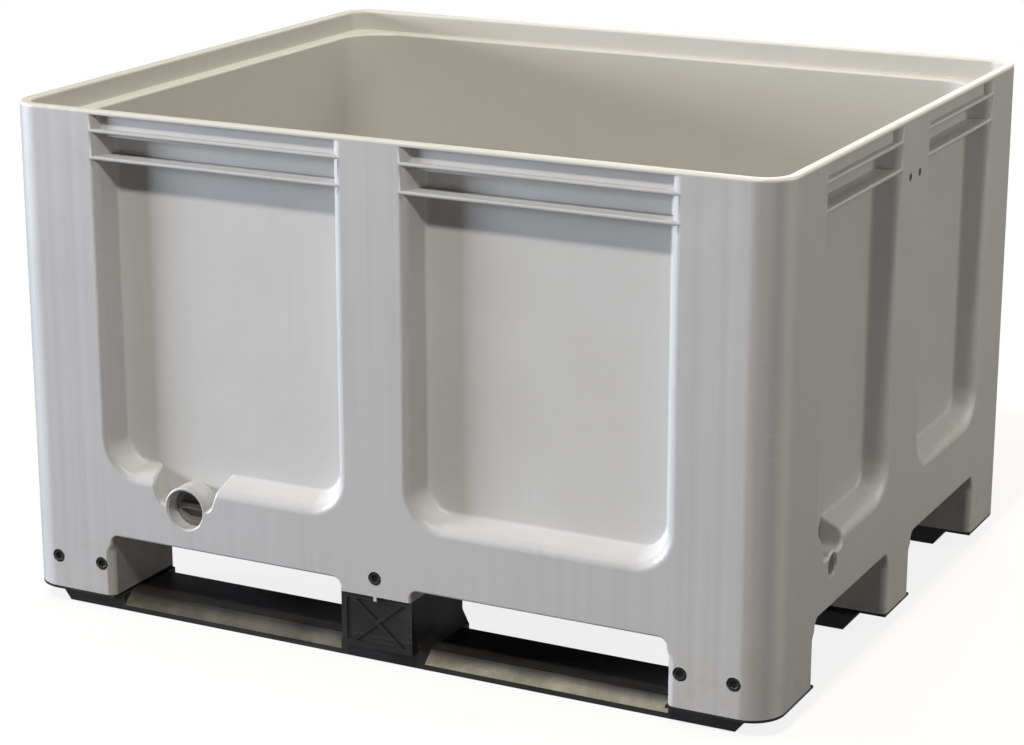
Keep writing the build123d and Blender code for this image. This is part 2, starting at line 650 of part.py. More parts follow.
with BuildPart() as front_runner:
    with BuildSketch(Plane.XZ.offset(half_width - sole_inset)):
        with BuildLine():
            Polyline(
                (-sole_end + sole_end_slope, 0),
                (sole_end - sole_end_slope, 0),
                (sole_end, sole_thickness),
                (-sole_end, sole_thickness),
                close=True,
            )
        make_face()
    extrude(amount=sole_inset - corner_column_y)
    with BuildSketch(*[Plane.YZ.offset(start) for start in bevel_starts]):
        with BuildLine():
            Polyline(
                (sole_inset - half_width, sole_thickness),
                (sole_inset - half_width, sole_thickness - bevel_height),
                (sole_inset - half_width + bevel_depth, sole_thickness),
                close=True,
            )
        make_face()
        with BuildLine():
            Polyline(
                (-foot_y, sole_thickness),
                (-foot_y, sole_thickness - bevel_height),
                (-foot_y - bevel_depth, sole_thickness),
                close=True,
            )
        make_face()
    extrude(amount=bevel_span, mode=Mode.SUBTRACT)
    with BuildSketch(Plane.XY.offset(sole_thickness)):
        with Locations((-foot_centre_x, -foot_centre_y), (foot_centre_x, -foot_centre_y)):
            Rectangle(corner_column_x, corner_column_y)
        RectangleRounded(box_length, box_width, corner_radius, mode=Mode.INTERSECT)
    extrude(amount=flange_thickness)

    # End blocks: open boxes inside the feet, crossed by the pillars that the screws bite into
    with BuildSketch(Plane.XY.offset(foot_bottom)):
        with Locations((-foot_centre_x, end_block_y), (foot_centre_x, end_block_y)):
            Rectangle(block_length, end_block_depth)
        RectangleRounded(
            box_length - 2 * (skin + block_gap),
            box_width - 2 * (skin + block_gap),
            corner_radius - skin - block_gap,
            mode=Mode.INTERSECT,
        )
        with Locations((-foot_centre_x, end_block_y), (foot_centre_x, end_block_y)):
            RectangleRounded(
                block_length - 2 * block_wall,
                end_block_depth - 2 * block_wall,
                corner_radius - skin - block_gap - block_wall,
                mode=Mode.SUBTRACT,
            )
    extrude(amount=block_top - foot_bottom)
    with BuildSketch(Plane.XY.offset(block_wall)):
        with Locations((-sole_pocket_x, sole_pocket_y), (sole_pocket_x, sole_pocket_y)):
            Rectangle(sole_pocket_length, sole_pocket_depth)
    extrude(amount=foot_bottom - block_wall, mode=Mode.SUBTRACT)
    with BuildSketch(Plane.XZ.offset(block_front)):
        with Locations(*end_screw_places):
            Circle(pillar / 2)
    extrude(amount=-end_block_depth)
    with BuildSketch(Plane.XZ.offset(block_front)):
        with Locations(*end_screw_places):
            Circle(pilot_hole / 2)
    extrude(amount=-end_pilot, mode=Mode.SUBTRACT)

    # Centre block with crossed ribs on its front, and the peg that its screw bites into
    with BuildSketch(Plane.XY.offset(sole_thickness)):
        with Locations((0, -centre_front + centre_depth / 2)):
            Rectangle(stub_width, centre_depth)
    extrude(amount=centre_height)
    with BuildSketch(Plane.XZ.offset(half_width - sole_inset)):
        with BuildLine():
            Polyline(
                (-stub_x - block_flare, sole_thickness),
                (stub_x + block_flare, sole_thickness),
                (stub_x, sole_thickness + block_flare_height),
                (-stub_x, sole_thickness + block_flare_height),
                close=True,
            )
        make_face()
    extrude(amount=sole_inset - corner_column_y)
    with BuildSketch(Plane.XY.offset(sole_thickness + block_wall)):
        with Locations((0, -centre_front + (centre_depth + cross_depth) / 2)):
            Rectangle(stub_width - 2 * block_wall, centre_depth - cross_depth - 2 * block_wall)
    extrude(amount=centre_height, mode=Mode.SUBTRACT)
    with BuildSketch(Plane.XY.offset(block_wall)):
        with Locations((0, -(peg_back + foot_y + block_wall) / 2)):
            Rectangle(stub_width - 2 * block_wall, peg_back - foot_y - block_wall)
    extrude(amount=sole_thickness, mode=Mode.SUBTRACT)
    with BuildSketch(Plane.XZ.offset(centre_front)):
        with Locations((0, sole_thickness + centre_height / 2)):
            Rectangle(stub_width - 2 * cross_border, centre_height - 2 * cross_border)
            Rectangle(box_width, cross_rib, rotation=cross_angle, mode=Mode.SUBTRACT)
            Rectangle(box_width, cross_rib, rotation=-cross_angle, mode=Mode.SUBTRACT)
    extrude(amount=-cross_depth, mode=Mode.SUBTRACT)
    with BuildSketch(Plane.XY.offset(sole_thickness)):
        with Locations((0, -(block_front + peg_back) / 2)):
            Rectangle(peg_width, block_front - peg_back)
    extrude(amount=centre_height + peg_rise)
    with BuildSketch(Plane.XZ.offset(block_front)):
        with Locations((0, centre_screw_level)):
            Circle(pilot_hole / 2)
    extrude(amount=peg_back - block_front, mode=Mode.SUBTRACT)

with BuildPart() as rear_runner:
    mirror(front_runner.part, about=Plane.XZ)

# Runner under the middle: its screws are put in from below, through deep access bores
middle_block_width = middle_foot_y - 2 * (skin + block_gap)
with BuildPart() as middle_runner:
    with BuildSketch(Plane.XZ.offset(middle_sole_width / 2)):
        with BuildLine():
            Polyline(
                (-sole_end + sole_end_slope, 0),
                (sole_end - sole_end_slope, 0),
                (sole_end, sole_thickness),
                (-sole_end, sole_thickness),
                close=True,
            )
        make_face()
    extrude(amount=-middle_sole_width)
    with BuildSketch(*[Plane.YZ.offset(start) for start in bevel_starts]):
        for side in (-1, 1):
            with BuildLine():
                Polyline(
                    (side * middle_sole_width / 2, sole_thickness),
                    (side * middle_sole_width / 2, sole_thickness - bevel_height),
                    (side * (middle_sole_width / 2 - bevel_depth), sole_thickness),
                    close=True,
                )
            make_face()
    extrude(amount=bevel_span, mode=Mode.SUBTRACT)
    with BuildSketch(Plane.XY.offset(sole_thickness)):
        with GridLocations(2 * foot_centre_x, 0, 2, 1):
            Rectangle(corner_column_x, middle_foot_y)
    extrude(amount=flange_thickness)
    with BuildSketch(Plane.XY.offset(foot_bottom)):
        with GridLocations(2 * foot_centre_x, 0, 2, 1):
            Rectangle(block_length, middle_block_width)
            Rectangle(
                block_length - 2 * block_wall,
                middle_block_width - 2 * block_wall,
                mode=Mode.SUBTRACT,
            )
        with Locations(*middle_screw_places):
            Circle(access_bore / 2 + access_wall)
    extrude(amount=block_top - foot_bottom)
    with BuildSketch(Plane.XY.offset(sole_thickness)):
        Rectangle(stub_width, middle_foot_y)
        Rectangle(stub_width - 2 * block_wall, middle_foot_y - 2 * block_wall, mode=Mode.SUBTRACT)
        Circle(access_bore / 2 + access_wall)
    extrude(amount=centre_height)
    with BuildSketch(Plane.XY.offset(block_wall)):
        with GridLocations(2 * sole_pocket_x, 0, 2, 1):
            Rectangle(sole_pocket_length, middle_block_width - 2 * block_wall)
        Rectangle(stub_width - 2 * block_wall, middle_foot_y - 2 * block_wall)
        with Locations(*middle_screw_places, (0, 0)):
            Circle(access_bore / 2 + access_wall, mode=Mode.SUBTRACT)
    extrude(amount=foot_bottom - block_wall, mode=Mode.SUBTRACT)
    with Locations(*[(x, y, block_top) for x, y in middle_screw_places]):
        Hole(clearance_hole / 2, depth=block_top)
    with Locations((0, 0, stub_bottom)):
        Hole(clearance_hole / 2, depth=stub_bottom)
    with BuildSketch(Plane.XY):
        with Locations(*middle_screw_places):
            Circle(access_bore / 2)
    extrude(amount=block_top - access_roof, mode=Mode.SUBTRACT)
    with BuildSketch(Plane.XY):
        Circle(access_bore / 2)
    extrude(amount=stub_bottom - access_roof, mode=Mode.SUBTRACT)

# Screws
end_screw = screw(end_screw_length)
centre_screw = screw(centre_screw_length)
middle_screw = screw(middle_screw_length)
seat_y = half_width - seat_depth
with BuildPart() as front_end_screws:
    with Locations(*[Location((x, -seat_y, z), (90, 0, 0)) for x, z in end_screw_places]):
        add(end_screw)
with BuildPart() as rear_end_screws:
    mirror(front_end_screws.part, about=Plane.XZ)
with BuildPart() as front_centre_screw:
    with Locations(Location((0, -seat_y, centre_screw_level), (90, 0, 0))):
        add(centre_screw)
with BuildPart() as rear_centre_screw:
    mirror(front_centre_screw.part, about=Plane.XZ)
with BuildPart() as middle_runner_screws:
    with Locations(
        *[Location((x, y, block_top - access_roof), (180, 0, 0)) for x, y in middle_screw_places],
        Location((0, 0, stub_bottom - access_roof), (180, 0, 0)),
    ):
        add(middle_screw)

# Drain plugs and their rings
with BuildPart() as front_drain_plug:
    with Locations(front_drain_place):
        add(drain_plug(front_drain_bore, front_grip))
with BuildPart() as front_drain_seal:
    with Locations(front_drain_place):
        add(drain_seal(front_drain_bore))
with BuildPart() as side_drain_plug:
    with Locations(side_drain_place):
        add(drain_plug(side_drain_bore, side_grip))
with BuildPart() as side_drain_seal:
    with Locations(side_drain_place):
        add(drain_seal(side_drain_bore))

pieces = {
    "box_body": box_body,
    "front_runner": front_runner,
    "middle_runner": middle_runner,
    "rear_runner": rear_runner,
    "front_end_screws": front_end_screws,
    "front_centre_screw": front_centre_screw,
    "rear_end_screws": rear_end_screws,
    "rear_centre_screw": rear_centre_screw,
    "middle_runner_screws": middle_runner_screws,
    "front_drain_plug": front_drain_plug,
    "front_drain_seal": front_drain_seal,
    "side_drain_plug": side_drain_plug,
    "side_drain_seal": side_drain_seal,
}
os.makedirs("parts", exist_ok=True)
for name, piece in pieces.items():
    piece.part.label = name
    export_step(piece.part, f"parts/{name}.step")
    print(name, len(piece.part.solids()), round(piece.part.volume))
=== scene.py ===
import math

import bmesh
import bpy
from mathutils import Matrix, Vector


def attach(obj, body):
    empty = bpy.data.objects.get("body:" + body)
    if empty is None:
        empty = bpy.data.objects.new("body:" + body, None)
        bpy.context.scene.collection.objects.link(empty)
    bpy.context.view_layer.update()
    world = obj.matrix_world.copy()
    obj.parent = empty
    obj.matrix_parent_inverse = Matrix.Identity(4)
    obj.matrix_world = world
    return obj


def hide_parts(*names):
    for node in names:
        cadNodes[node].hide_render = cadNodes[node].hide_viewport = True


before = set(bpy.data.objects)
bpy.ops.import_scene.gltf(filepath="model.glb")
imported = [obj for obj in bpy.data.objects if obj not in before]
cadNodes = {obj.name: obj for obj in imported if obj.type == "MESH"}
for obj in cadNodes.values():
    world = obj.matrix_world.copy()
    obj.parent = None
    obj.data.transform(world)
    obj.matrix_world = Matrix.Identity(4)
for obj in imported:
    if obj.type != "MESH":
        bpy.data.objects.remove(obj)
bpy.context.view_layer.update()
print("frame loaded:", len(cadNodes), "nodes")


def linear(hexColour):
    channels = [int(hexColour[i:i + 2], 16) / 255 for i in (1, 3, 5)]
    curved = [c / 12.92 if c <= 0.04045 else ((c + 0.055) / 1.055) ** 2.4 for c in channels]
    return (*curved, 1.0)


def addNode(tree, kind, settings=None, inputs=None):
    node = tree.nodes.new(kind)
    for name, value in (settings or {}).items():
        setattr(node, name, value)
    for socket, value in (inputs or {}).items():
        if isinstance(value, bpy.types.NodeSocket):
            tree.links.new(value, node.inputs[socket])
        else:
            node.inputs[socket].default_value = value
    return node


def startMaterial(name):
    material = bpy.data.materials.new(name)
    material.use_nodes = True
    material.node_tree.nodes.clear()
    return material, material.node_tree


def perMetre(millimetres):  # texture scale for a feature of this size
    return 1000 / millimetres


# node settings that come up again and again
eased = {"interpolation_type": "SMOOTHSTEP"}
colourMix = {"data_type": "RGBA"}
times = {"operation": "MULTIPLY"}
timesPlus = {"operation": "MULTIPLY_ADD"}
minus = {"operation": "SUBTRACT"}
larger = {"operation": "MAXIMUM"}
positive = {"operation": "ABSOLUTE"}
above = {"operation": "GREATER_THAN"}
below = {"operation": "LESS_THAN"}

# Grey polyethylene, injection moulded: satin skin with fine grain, long soft waves where the
# thick wall shrank, faint flow streaks, pale handling scuffs and dust low down; painted shade on
# the outer faces, the corners and inside the tub, and painted light on the lip's top.
greySkin = {
    "colour": "#c2c2c1",
    "cloudColour": "#bbbbb9",
    # painted shade on the outer faces
    "outerShadeColour": "#aeaeae",
    "scuffColour": "#c9cbc9",
    "dustColour": "#a39c88",
    # painted shade and warm lamp light inside the tub
    "insideShadeColour": "#b8b6ae",
    # painted light on the lip's top and the ledge behind it
    "rimLightColour": "#c7c5bc",
    # painted shade on the rounded corners
    "cornerShadeColour": "#9d9d9e",
    "roughness": (0.36, 0.50),
    # sizes of the textures in mm
    "cloud": 210,         # blotches in the colour
    "streak": (9, 800),   # flow streaks across and along the wall
    "grain": 2.6,         # drawn coarser than the real 0.4 mm so that it shows
    "wave": 130,          # sink waves of the big walls
    "dust": 46,
    "scuff": (160, 2.4),  # along and across a scuff
    "scuffPatch": 170,
    "scuffTilt": (0.12, 0.09, 0.0),
    # places in m from the middle or above the ground, the pairs from nothing to full
    "longFace": (0.486, 0.499),
    "shortFace": (0.586, 0.599),
    "cornerX": (0.565, 0.590),
    "cornerY": (0.465, 0.490),
    "tubX": (0.566, 0.560),
    "tubY": (0.466, 0.460),
    "tubFloor": (0.146, 0.149),
    "lipX": 0.5848,
    "lipY": 0.4848,
    "lipFoot": 0.7225,
    "rimTop": (0.7535, 0.7575),
    "ledge": 0.727,
    "ledgeOff": (0.004, 0.001),
    "dustHeight": (0.17, 0.03),
    "sinkFaceX": 0.594,
    "sinkFaceY": 0.494,
    "sinkLines": (0.487, 0.524),       # on the long sides' end columns
    "sinkLinesShort": (0.395, 0.432),  # the same on the short sides
    "sinkHalfWidth": 0.012,
    # greatest shares
    "streakShare": 0.55,
    "shortFaceShare": 0.3,
    "insideShadeShare": 0.75,
    "rimLightShare": 0.85,
    "ledgeLightShare": 0.6,
    "dustShare": 0.55,
    "scuffShare": 0.25,
    # added to the roughness
    "dustRoughness": 0.25,
    "scuffRoughness": 0.2,
    # depths of the relief in m
    "waveDepth": 0.004,
    "sinkDepth": 0.0005,
    "grainDepth": 0.0003,
    "scuffDepth": 0.0002,
}


def greyPolyethylene():
    material, tree = startMaterial("grey moulded polyethylene")
    coord = addNode(tree, "ShaderNodeTexCoord").outputs["Object"]
    place = addNode(tree, "ShaderNodeSeparateXYZ", inputs={0: coord})
    absX = addNode(tree, "ShaderNodeMath", positive, {0: place.outputs[0]}).outputs[0]
    absY = addNode(tree, "ShaderNodeMath", positive, {0: place.outputs[1]}).outputs[0]
    height = place.outputs[2]

    cloud = addNode(tree, "ShaderNodeTexNoise", None,
                    {"Vector": coord, "Scale": perMetre(greySkin["cloud"]),
                     "Detail": 4.0, "Roughness": 0.55})
    across, along = greySkin["streak"]
    streakSpace = addNode(tree, "ShaderNodeMapping", None,
                          {"Vector": coord,
                           "Scale": (perMetre(across), perMetre(across), perMetre(along))})
    streak = addNode(tree, "ShaderNodeTexNoise", None,
                     {"Vector": streakSpace.outputs[0], "Scale": 1.0,
                      "Detail": 3.0, "Roughness": 0.6})
    cloudMix = addNode(tree, "ShaderNodeMapRange", None,
                       {"Value": cloud.outputs[0], "From Min": 0.35, "From Max": 0.68})
    streakMix = addNode(tree, "ShaderNodeMapRange", None,
                        {"Value": streak.outputs[0], "From Min": 0.38, "From Max": 0.7,
                         "To Max": greySkin["streakShare"]})
    blotch = addNode(tree, "ShaderNodeMath", larger,
                     {0: cloudMix.outputs[0], 1: streakMix.outputs[0]})
    sheltered = addNode(tree, "ShaderNodeMix", colourMix,
                        {0: blotch.outputs[0], 6: linear(greySkin["colour"]),
                         7: linear(greySkin["cloudColour"])})

    # painted shade: the outermost faces are painted greyer than the panels, most of all on the long
    # sides, with the upright flow streaks running through it
    start, full = greySkin["longFace"]
    outLong = addNode(tree, "ShaderNodeMapRange", eased,
                      {"Value": absY, "From Min": start, "From Max": full})
    start, full = greySkin["shortFace"]
    outShort = addNode(tree, "ShaderNodeMapRange", eased,
                       {"Value": absX, "From Min": start, "From Max": full,
                        "To Max": greySkin["shortFaceShare"]})
    outer = addNode(tree, "ShaderNodeMath", larger,
                    {0: outLong.outputs[0], 1: outShort.outputs[0]})
    outerShadeCloud = addNode(tree, "ShaderNodeMapRange", None,
                      {"Value": cloud.outputs[0], "From Min": 0.2, "From Max": 0.8,
                       "To Min": 1.0, "To Max": 0.6})
    streaked = addNode(tree, "ShaderNodeMapRange", None,
                       {"Value": streak.outputs[0], "From Min": 0.36, "From Max": 0.64,
                        "To Min": 0.78, "To Max": 1.06})
    outerShadeStreaks = addNode(tree, "ShaderNodeMath", times,
                             {0: outerShadeCloud.outputs[0], 1: streaked.outputs[0]})
    outerShadeShare = addNode(tree, "ShaderNodeMath", {**times, "use_clamp": True},
                           {0: outer.outputs[0], 1: outerShadeStreaks.outputs[0]})
    onFaces = addNode(tree, "ShaderNodeMix", colourMix,
                      {0: outerShadeShare.outputs[0], 6: sheltered.outputs[2],
                       7: linear(greySkin["outerShadeColour"])})

    # painted shade: the four rounded corners are painted darker
    start, full = greySkin["cornerX"]
    cornerX = addNode(tree, "ShaderNodeMapRange", eased,
                      {"Value": absX, "From Min": start, "From Max": full})
    start, full = greySkin["cornerY"]
    cornerY = addNode(tree, "ShaderNodeMapRange", eased,
                      {"Value": absY, "From Min": start, "From Max": full})
    corner = addNode(tree, "ShaderNodeMath", times,
                     {0: cornerX.outputs[0], 1: cornerY.outputs[0]})
    base = addNode(tree, "ShaderNodeMix", colourMix,
                   {0: corner.outputs[0], 6: onFaces.outputs[2],
                    7: linear(greySkin["cornerShadeColour"])})

    # painted shade and warm lamp light: the tub's inside and the lip's inner face are painted
    # darker and warmer
    start, full = greySkin["tubX"]
    insideX = addNode(tree, "ShaderNodeMapRange", eased,
                      {"Value": absX, "From Min": start, "From Max": full})
    start, full = greySkin["tubY"]
    insideY = addNode(tree, "ShaderNodeMapRange", eased,
                      {"Value": absY, "From Min": start, "From Max": full})
    start, full = greySkin["tubFloor"]
    overFloor = addNode(tree, "ShaderNodeMapRange", None,
                        {"Value": height, "From Min": start, "From Max": full})
    insideXY = addNode(tree, "ShaderNodeMath", times,
                       {0: insideX.outputs[0], 1: insideY.outputs[0]})
    inside = addNode(tree, "ShaderNodeMath", times,
                     {0: insideXY.outputs[0], 1: overFloor.outputs[0]})
    lipX = addNode(tree, "ShaderNodeMath", below, {0: absX, 1: greySkin["lipX"]})
    lipY = addNode(tree, "ShaderNodeMath", below, {0: absY, 1: greySkin["lipY"]})
    lipXY = addNode(tree, "ShaderNodeMath", times, {0: lipX.outputs[0], 1: lipY.outputs[0]})
    lipHigh = addNode(tree, "ShaderNodeMath", above, {0: height, 1: greySkin["lipFoot"]})
    lipFace = addNode(tree, "ShaderNodeMath", times,
                      {0: lipXY.outputs[0], 1: lipHigh.outputs[0]})
    within = addNode(tree, "ShaderNodeMath", larger,
                     {0: inside.outputs[0], 1: lipFace.outputs[0]})
    insideShadeShare = addNode(tree, "ShaderNodeMath", times,
                          {0: within.outputs[0], 1: greySkin["insideShadeShare"]})
    withInside = addNode(tree, "ShaderNodeMix", colourMix,
                         {0: insideShadeShare.outputs[0], 6: base.outputs[2],
                          7: linear(greySkin["insideShadeColour"])})

    # painted light: the lip's top and the ledge behind it are painted paler and warmer where light
    # from above falls on them
    start, full = greySkin["rimTop"]
    rimTop = addNode(tree, "ShaderNodeMapRange", eased,
                     {"Value": height, "From Min": start, "From Max": full,
                      "To Max": greySkin["rimLightShare"]})
    ledgeOff = addNode(tree, "ShaderNodeMath", minus, {0: height, 1: greySkin["ledge"]})
    ledgeNear = addNode(tree, "ShaderNodeMath", positive, {0: ledgeOff.outputs[0]})
    start, full = greySkin["ledgeOff"]
    ledgeTop = addNode(tree, "ShaderNodeMapRange", eased,
                       {"Value": ledgeNear.outputs[0], "From Min": start, "From Max": full,
                        "To Max": greySkin["ledgeLightShare"]})
    behindLip = addNode(tree, "ShaderNodeMath", times,
                        {0: lipXY.outputs[0], 1: ledgeTop.outputs[0]})
    paleShare = addNode(tree, "ShaderNodeMath", larger,
                     {0: rimTop.outputs[0], 1: behindLip.outputs[0]})
    withRim = addNode(tree, "ShaderNodeMix", colourMix,
                      {0: paleShare.outputs[0], 6: withInside.outputs[2],
                       7: linear(greySkin["rimLightColour"])})

    # dust low on the feet
    start, full = greySkin["dustHeight"]
    lowDown = addNode(tree, "ShaderNodeMapRange", eased,
                      {"Value": height, "From Min": start, "From Max": full,
                       "To Max": greySkin["dustShare"]})
    dustNoise = addNode(tree, "ShaderNodeTexNoise", None,
                        {"Vector": coord, "Scale": perMetre(greySkin["dust"]),
                         "Detail": 6.0, "Roughness": 0.65})
    dustPatch = addNode(tree, "ShaderNodeMapRange", None,
                        {"Value": dustNoise.outputs[0], "From Min": 0.48, "From Max": 0.72})
    dust = addNode(tree, "ShaderNodeMath", times,
                   {0: lowDown.outputs[0], 1: dustPatch.outputs[0]})
    withDust = addNode(tree, "ShaderNodeMix", colourMix,
                       {0: dust.outputs[0], 6: withRim.outputs[2],
                        7: linear(greySkin["dustColour"])})

    # pale scuffs from forks, crates and straps, in patches
    scuffRun, scuffThick = greySkin["scuff"]
    scuffSpace = addNode(tree, "ShaderNodeMapping", None,
                         {"Vector": coord, "Rotation": greySkin["scuffTilt"],
                          "Scale": (perMetre(scuffRun), perMetre(scuffRun),
                                    perMetre(scuffThick))})
    scuffNoise = addNode(tree, "ShaderNodeTexNoise", None,
                         {"Vector": scuffSpace.outputs[0], "Scale": 1.0, "Detail": 2.0})
    scuffLine = addNode(tree, "ShaderNodeMapRange", None,
                        {"Value": scuffNoise.outputs[0], "From Min": 0.66, "From Max": 0.72})
    patchNoise = addNode(tree, "ShaderNodeTexNoise", None,
                         {"Vector": coord, "Scale": perMetre(greySkin["scuffPatch"]),
                          "Detail": 1.0})
    patch = addNode(tree, "ShaderNodeMapRange", None,
                    {"Value": patchNoise.outputs[0], "From Min": 0.55, "From Max": 0.68,
                     "To Max": greySkin["scuffShare"]})
    scuff = addNode(tree, "ShaderNodeMath", times,
                    {0: scuffLine.outputs[0], 1: patch.outputs[0]})
    colour = addNode(tree, "ShaderNodeMix", colourMix,
                     {0: scuff.outputs[0], 6: withDust.outputs[2],
                      7: linear(greySkin["scuffColour"])})

    smooth, rough = greySkin["roughness"]
    polish = addNode(tree, "ShaderNodeMapRange", None,
                     {"Value": cloud.outputs[0], "From Min": 0.3, "From Max": 0.7,
                      "To Min": smooth, "To Max": rough})
    dulled = addNode(tree, "ShaderNodeMath", timesPlus,
                     {0: dust.outputs[0], 1: greySkin["dustRoughness"], 2: polish.outputs[0]})
    roughness = addNode(tree, "ShaderNodeMath", timesPlus,
                        {0: scuff.outputs[0], 1: greySkin["scuffRoughness"],
                         2: dulled.outputs[0]})

    # faint upright sink lines where the columns' inner webs meet the skin
    onLong = addNode(tree, "ShaderNodeMath", above, {0: absY, 1: greySkin["sinkFaceY"]})
    onShort = addNode(tree, "ShaderNodeMath", above, {0: absX, 1: greySkin["sinkFaceX"]})
    sink = None
    for distance, lines, mask in ((absX, greySkin["sinkLines"], onLong),
                                  (absY, greySkin["sinkLinesShort"], onShort)):
        for line in lines:
            off = addNode(tree, "ShaderNodeMath", minus, {0: distance, 1: line})
            near = addNode(tree, "ShaderNodeMath", positive, {0: off.outputs[0]})
            dip = addNode(tree, "ShaderNodeMapRange", eased,
                          {"Value": near.outputs[0],
                           "From Min": greySkin["sinkHalfWidth"], "From Max": 0.0})
            share = addNode(tree, "ShaderNodeMath", times,
                            {0: dip.outputs[0], 1: mask.outputs[0]}).outputs[0]
            if sink is not None:
                share = addNode(tree, "ShaderNodeMath", {"operation": "ADD"},
                                {0: sink, 1: share}).outputs[0]
            sink = share

    wave = addNode(tree, "ShaderNodeTexNoise", None,
                   {"Vector": coord, "Scale": perMetre(greySkin["wave"]),
                    "Detail": 1.0, "Roughness": 0.4})
    waveBump = addNode(tree, "ShaderNodeBump", None,
                       {"Strength": 0.35, "Distance": greySkin["waveDepth"],
                        "Height": wave.outputs[0]})
    sinkBump = addNode(tree, "ShaderNodeBump", {"invert": True},
                       {"Strength": 0.4, "Distance": greySkin["sinkDepth"],
                        "Height": sink, "Normal": waveBump.outputs[0]})
    grain = addNode(tree, "ShaderNodeTexNoise", None,
                    {"Vector": coord, "Scale": perMetre(greySkin["grain"]),
                     "Detail": 3.0, "Roughness": 0.7})
    grainBump = addNode(tree, "ShaderNodeBump", None,
                        {"Strength": 0.22, "Distance": greySkin["grainDepth"],
                         "Height": grain.outputs[0], "Normal": sinkBump.outputs[0]})
    scuffBump = addNode(tree, "ShaderNodeBump", {"invert": True},
                        {"Strength": 0.3, "Distance": greySkin["scuffDepth"],
                         "Height": scuff.outputs[0], "Normal": grainBump.outputs[0]})
    shader = addNode(tree, "ShaderNodeBsdfPrincipled", None,
                     {"Base Color": colour.outputs[2], "Roughness": roughness.outputs[0],
                      "IOR": 1.52, "Normal": scuffBump.outputs[0]})
    addNode(tree, "ShaderNodeOutputMaterial", None, {"Surface": shader.outputs[0]})
    return material


# Black polyethylene from regrind, injection moulded: satin to slightly glossy, with field dust
# lying on faces that look up, painted light on the bevels, grey drag marks along the soles and a
# pitted skin.
blackSkin = {
    "colour": "#171818",
    "cloudColour": "#2a2a2a",
    "dustColour": "#5d594e",
    # painted light on the bevels
    "bevelLightColour": "#96927f",
    "dragColour": "#4a4a47",
    "roughness": (0.26, 0.46),
    "dustRoughness": 0.5,
    # sizes of the textures in mm
    "cloud": 90,
    "dust": 60,
    "pit": 4.0,
    "drag": (240, 3.0),  # along and across the runner
    # greatest shares
    "dustShare": 0.16,
    "dragShare": 0.55,
    # places in m
    "bevelHeight": (0.0245, 0.012),  # above the ground, where the painted light fades in
    "wornEnd": (-0.2, 0.12),         # along the runner, towards its more brightly lit end
    "litLeast": 0.3,                # share of the painted light at the other end
    # depths of the relief in m
    "pitDepth": 0.0005,
    "dragDepth": 0.0004,
}


